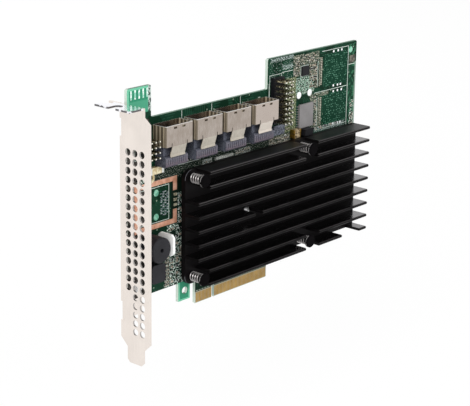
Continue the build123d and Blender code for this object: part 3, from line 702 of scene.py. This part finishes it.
def edit_faces(piece, wanted):
    """Enter edit mode with only the faces that wanted(normal) picks selected."""
    choose([piece])
    bpy.ops.object.mode_set(mode="EDIT")
    bpy.ops.mesh.select_mode(type="FACE")
    bpy.ops.mesh.select_all(action="DESELECT")
    bpy.ops.object.mode_set(mode="OBJECT")
    for face in piece.data.polygons:
        face.select = wanted(face.normal)
    bpy.ops.object.mode_set(mode="EDIT")


def leave_edit():
    bpy.ops.object.mode_set(mode="OBJECT")


# Printed outlines and lines: lowest x and z, highest x and z
print_thickness = 0.03
printed_frames = (
    (-52.6, 77.9, -44.9, 89.3),
    (39.3, 78.0, 48.5, 102.8),
    (63.1, 98.7, 69.3, 104.1),
    (-49.6, 46.6, -30.6, 63.4),
)
printed_lines = (
    (-42.0, 71.85, 38.5, 72.1),
    (-24.6, 70.9, -9.4, 71.12),
    (74.4, 88.55, 101.4, 88.8),
    (101.6, 66.5, 101.9, 109.2),
    (76.0, 69.3, 101.6, 69.5),
    (80.0, 109.0, 101.7, 109.25),
    (76.75, 92.0, 77.0, 106.6),
    (76.75, 71.4, 77.0, 86.0),
    (38.9, 84.0, 39.1, 99.0),
    (102.4, 99.2, 107.4, 99.5),
    (48.8, 103.0, 57.0, 103.25),
    (-22.45, 90.6, -22.2, 96.2),
    (-2.25, 90.6, -2.0, 96.2),
    (17.95, 90.6, 18.2, 96.2),
    (31.0, 93.4, 32.6, 93.65),
)


def printed_line(low_x, low_z, high_x, high_z):
    return block((low_x, 0, low_z), (high_x, -print_thickness, high_z))


def printed_frame(*corners, line=0.25):
    """A printed outline: a flat sheet whose inset middle is bridged through."""
    piece = printed_line(*corners)
    edit_faces(piece, lambda normal: abs(normal.y) > 0.9)
    bpy.ops.mesh.inset(thickness=line * MM)
    bpy.ops.mesh.bridge_edge_loops()
    leave_edit()
    return piece


def tab_bars(first=-54.6, pitch=2.5, half_width=0.45, low_z=106.0, high_z=110.2, thickness=0.04):
    """Five upright bars side by side at the top of the tab."""
    middles = [first + pitch * bar for bar in range(5)]
    low_corners = [(middle - half_width, 0, low_z) for middle in middles]
    high_corners = [(middle + half_width, -thickness, high_z) for middle in middles]
    return joined([rounded(block(low, high), 0.02) for low, high in zip(low_corners, high_corners)])


outlines = [printed_frame(*corners) for corners in printed_frames]
outlines += [printed_line(*corners) for corners in printed_lines]
add(joined(outlines), "printed_outlines", "white_plastic", printed_white)
add(tab_bars(), "tab_bars", "white_plastic", bar_print)


# Bare pads and round marks on the board
def small_pad(half_length, half_width, thickness, edge):
    low, high = (-half_length, 0, -half_width), (half_length, -thickness, half_width)
    return rounded(block(low, high), edge)


def comb_places(rows=17, pitch=0.84):
    """Two combs of pads beside the empty chip places: teeth on the right, and an upright row on the left."""
    teeth, spine = (79.7, 0), (78.3, 1)
    places = []
    for lowest in (92.4, 72.0):
        for column, turns in (teeth, spine):
            places += [(column, lowest + pitch * row, turns) for row in range(rows)]
    return places


def frame_pad_places(first_x=-35.6, first_z=49.4, pitch_x=1.35, pitch_z=0.78):
    """A grid inside the copper frame with some places left empty."""
    grid = [(column, row) for column in range(4) for row in range(15)]
    filled = [(column, row) for column, row in grid if (5 * column + 3 * row) % 7 > 1]
    return [(first_x + pitch_x * column, first_z + pitch_z * row, 0) for column, row in filled]


def dot_places():
    """White dots at the corners of the empty chip places, and one under the right header."""
    dots = [(90.0, 90.3), (93.5, 90.2), (95.9, 90.2), (90.1, 87.3), (93.6, 87.3), (96.8, 87.3)]
    dots += [(89.4, 108.0), (93.1, 108.0), (96.1, 108.0), (90.7, 70.3), (94.5, 70.2), (96.6, 70.2)]
    dots += [(52.3, 70.9)]
    return [(x, z, 0) for x, z in dots]


def round_marks(radius, thickness, sides, edge, places):
    return smooth(copies(rounded(disc(radius, thickness, sides), edge), places))


add(copies(small_pad(0.62, 0.24, 0.06, 0.05), comb_places()), "empty_pads", "solder_tin", bare_pad)
add(copies(small_pad(0.55, 0.2, 0.05, 0.04), frame_pad_places()), "frame_pads", "solder_tin", frame_mark)
round_pads = round_marks(1.75, 0.08, 28, 0.03, [(62.3, 89.5, 0), (70.7, 89.7, 0)])
add(round_pads, "round_pads", "white_plastic", bright_print)
add(round_marks(0.62, 0.06, 20, 0.02, dot_places()), "small_dots", "white_plastic", bright_print)
test_pads = round_marks(1.6, 0.06, 24, 0.03, [(-39.0, 60.6, 0), (-39.0, 49.2, 0), (103.6, 107.0, 0)])
add(test_pads, "test_pads", "solder_tin", pale_mask)
add(rounded(block((102.6, 0, 100.2), (106.8, -0.6, 104.0)), 0.15), "strip_part", "chip_black", worn_brown)


# Wound ring beside the cream capacitor
def wound_ring(ring_radius=2.1, wire_radius=0.55):
    middle = Vector((capacitor_low.x + 0.06, -wire_radius, capacitor_low.z - 1.8))
    deselect()
    bpy.ops.mesh.primitive_torus_add(
        major_radius=ring_radius * MM, minor_radius=wire_radius * MM, major_segments=40, minor_segments=12,
        location=middle * MM, rotation=(math.pi / 2, 0, 0),
    )
    return smooth(settle(bpy.context.object))


add(wound_ring(), "wound_ring", "cream_body")


# Springs on the push pins, each a round wire turned round its pin
def pin_spring(pin_x, pin_z, turns=4.6, wire=0.33, reach=2.05):
    start, end = sink_base_front - wire, pin_head_back + wire
    deselect()
    bpy.ops.mesh.primitive_circle_add(
        vertices=10, radius=wire * MM, fill_type="NGON",
        location=(reach * MM, 0, 0), rotation=(math.pi / 2, 0, 0),
    )
    coil = settle(bpy.context.object)
    steps = int(24 * turns)
    modify(
        coil, "SCREW", angle=2 * math.pi * turns, screw_offset=(start - end) * MM, steps=steps,
        render_steps=steps, use_merge_vertices=True, merge_threshold=1e-6,
    )
    coil.rotation_euler = (math.pi / 2, 0, 0)
    coil.location = Vector((pin_x, start, pin_z)) * MM
    settle(coil)
    edit_faces(coil, lambda normal: True)
    bpy.ops.mesh.normals_make_consistent(inside=False)
    leave_edit()
    return coil


pin_columns = (pins_low.x + pin_head_radius, pins_high.x - pin_head_radius)
pin_rows = (pins_low.z + pin_head_radius, pins_high.z - pin_head_radius)
springs = smooth(joined([pin_spring(x, z) for x in pin_columns for z in pin_rows]))
add(springs, "coil_springs", "spring_metal")
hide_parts("pin_springs")

# Fields of tiny parts: lowest x and z, highest x and z, quarter turns, and the share of places that is filled
tiny_pitch, tiny_row = 1.5, 0.95
tiny_shift = 0.06
tiny_fields = (
    (-33.6, 14.0, -27.0, 29.6, 0, 0.9),
    (-26.4, 13.8, -20.4, 32.0, 1, 0.9),
    (-25.6, 32.0, -23.8, 39.8, 0, 0.8),
    (-31.4, 40.4, -24.2, 43.2, 1, 0.9),
    (-24.6, 43.4, -20.6, 57.4, 0, 0.6),
    (57.4, 99.6, 63.0, 109.6, 0, 0.55),
    (63.2, 104.8, 77.4, 109.8, 0, 0.6),
    (70.2, 92.0, 76.4, 104.6, 1, 0.65),
    (71.6, 72.0, 77.0, 86.0, 1, 0.6),
    (49.4, 73.6, 59.6, 98.0, 0, 0.6),
    (72.6, 69.3, 88.0, 71.4, 0, 0.8),
    (14.6, 68.4, 26.4, 70.4, 0, 0.8),
    (39.6, 67.4, 55.4, 71.6, 0, 0.8),
    (-8.0, 68.2, -1.4, 70.0, 0, 0.7),
    (104.2, 67.4, 107.6, 80.0, 0, 0.4),
    (71.2, 86.4, 76.0, 88.2, 0, 0.7),
)


def tiny_places(low_x, low_z, high_x, high_z, turns, share):
    """Places in one field, each moved a little from its grid point."""
    step_x, step_z = (tiny_row, tiny_pitch) if turns else (tiny_pitch, tiny_row)
    places = []
    for column in range(int((high_x - low_x) / step_x)):
        for row in range(int((high_z - low_z) / step_z)):
            if shuffle.random() < share:
                x = low_x + step_x * (column + 0.5) + shuffle.uniform(-tiny_shift, tiny_shift)
                z = low_z + step_z * (row + 0.5) + shuffle.uniform(-tiny_shift, tiny_shift)
                places.append((x, z, turns))
    return places


def taken_areas(cell=3, gap=1.05, short=35, edge=0.3):
    """Areas of the board that CAD parts stand on, cell by cell with a gap, and whole for a short part."""
    under_all = ("circuit_board", "mounting_bracket", "heat_sink", "front_contacts", "back_contacts")
    spread_out = ("push_pins", "pin_springs", "bracket_screws")
    areas = []
    for name, node in frame["nodes"].items():
        if name in under_all:
            continue
        cells = {}
        for vertex in node.data.vertices:
            x, y, z = vertex.co / MM
            if y < 0.01:
                cells.setdefault((round(x / cell), round(z / cell)), []).append((x, z))
        for points in cells.values():
            xs, zs = zip(*points)
            areas.append((min(xs) - gap, min(zs) - gap, max(xs) + gap, max(zs) + gap))
        low, high = box_mm(name)
        if name not in spread_out and not name.startswith("small_") and (high - low).x < short:
            areas.append((low.x - edge, low.z - edge, high.x + edge, high.z + edge))
    return areas


def clear_places(places):
    """The places that no CAD part already stands on."""
    areas = taken_areas()
    return [
        place for place in places
        if not any(x0 < place[0] < x1 and z0 < place[1] < z1 for x0, z0, x1, z1 in areas)
    ]


def tiny_end(low_x, high_x):
    return rounded(block((low_x, 0, -0.3), (high_x, -0.42, 0.3)), 0.05)


def tiny_body():
    return rounded(block((-0.38, 0, -0.27), (0.38, -0.38, 0.27)), 0.05)


places = clear_places([place for field in tiny_fields for place in tiny_places(*field)])
tiny_ends = joined([tiny_end(-0.6, -0.34), tiny_end(0.34, 0.6)])
add(copies(tiny_ends, places), "tiny_part_ends", "solder_tin", dull_tin)
add(copies(tiny_body(), places[0::2]), "tiny_capacitors", "tan_ceramic")
add(copies(tiny_body(), places[1::2]), "tiny_resistors", "chip_black")


# Floor, sky, lamps and camera
def set_floor(glow_share=0.92):
    """A white floor that keeps the object's shadow faintly, and shows white in metal."""
    deselect()
    bpy.ops.mesh.primitive_plane_add(size=8, location=(0, 0, -0.1))
    floor = bpy.context.object
    floor.name = "studio_floor"
    finish = Finish("studio_white", Base_Color=(0.92, 0.92, 0.92), Roughness=0.9)
    surface = Wire(finish, finish.shader.outputs[0])
    glow = finish.node("ShaderNodeEmission", None, {"Color": (1, 1, 1), "Strength": 1.0})
    share = finish.seen_by("Camera", "Glossy") * glow_share
    both = finish.node("ShaderNodeMixShader", None, {0: share, 1: surface, 2: glow})
    finish.put(finish.tree.nodes["Material Output"].inputs["Surface"], both)
    floor.data.materials.append(finish.material)


def set_sky(lit=0.55, seen=1.0):
    """A white sky: full strength to the camera and in metal and glass, and softer as a light."""
    world = bpy.data.worlds.new("soft_studio")
    bpy.context.scene.world = world
    world.use_nodes = True
    sky = Shading(world.node_tree)
    background = sky.tree.nodes["Background"]
    sky.put(background.inputs["Color"], (1, 1, 1))
    shown = sky.seen_by("Camera", "Glossy", "Transmission")
    sky.put(background.inputs["Strength"], shown * (seen - lit) + lit)


def add_lamp(name, place, power, width=0.9, card_middle=(0.02, 0, 0.05)):
    """A round lamp that points at the card."""
    data = bpy.data.lights.new(name, "AREA")
    data.shape = "DISK"
    data.size = width
    data.energy = power
    lamp = bpy.data.objects.new(name, data)
    bpy.context.collection.objects.link(lamp)
    lamp.location = place
    lamp.rotation_euler = (Vector(card_middle) - Vector(place)).to_track_quat("-Z", "Y").to_euler()


def set_camera():
    """The camera of the photograph, fitted to known points of the card."""
    right = Vector((0.659926, -0.751186, 0.014718))
    up = Vector((0.208638, 0.202040, 0.956896))
    back = Vector((-0.721781, -0.628410, 0.290058))
    place = Vector((-503.157, -451.432, 252.463)) * MM
    data = bpy.data.cameras.new("photo_camera")
    data.lens = 114.36
    data.sensor_width = 36
    data.clip_end = 60
    camera = bpy.data.objects.new("photo_camera", data)
    bpy.context.collection.objects.link(camera)
    camera.matrix_world = Matrix.Translation(place) @ Matrix((right, up, back)).transposed().to_4x4()
    bpy.context.scene.camera = camera


set_floor()
set_sky()
add_lamp("key_lamp", (-1.5, -0.9, 1.3), 22)
add_lamp("front_lamp", (0.3, -1.9, 0.9), 12)
add_lamp("back_lamp", (0.5, 1.7, 1.2), 16)
set_camera()
bpy.context.scene.view_settings.view_transform = "Standard"

deselect()
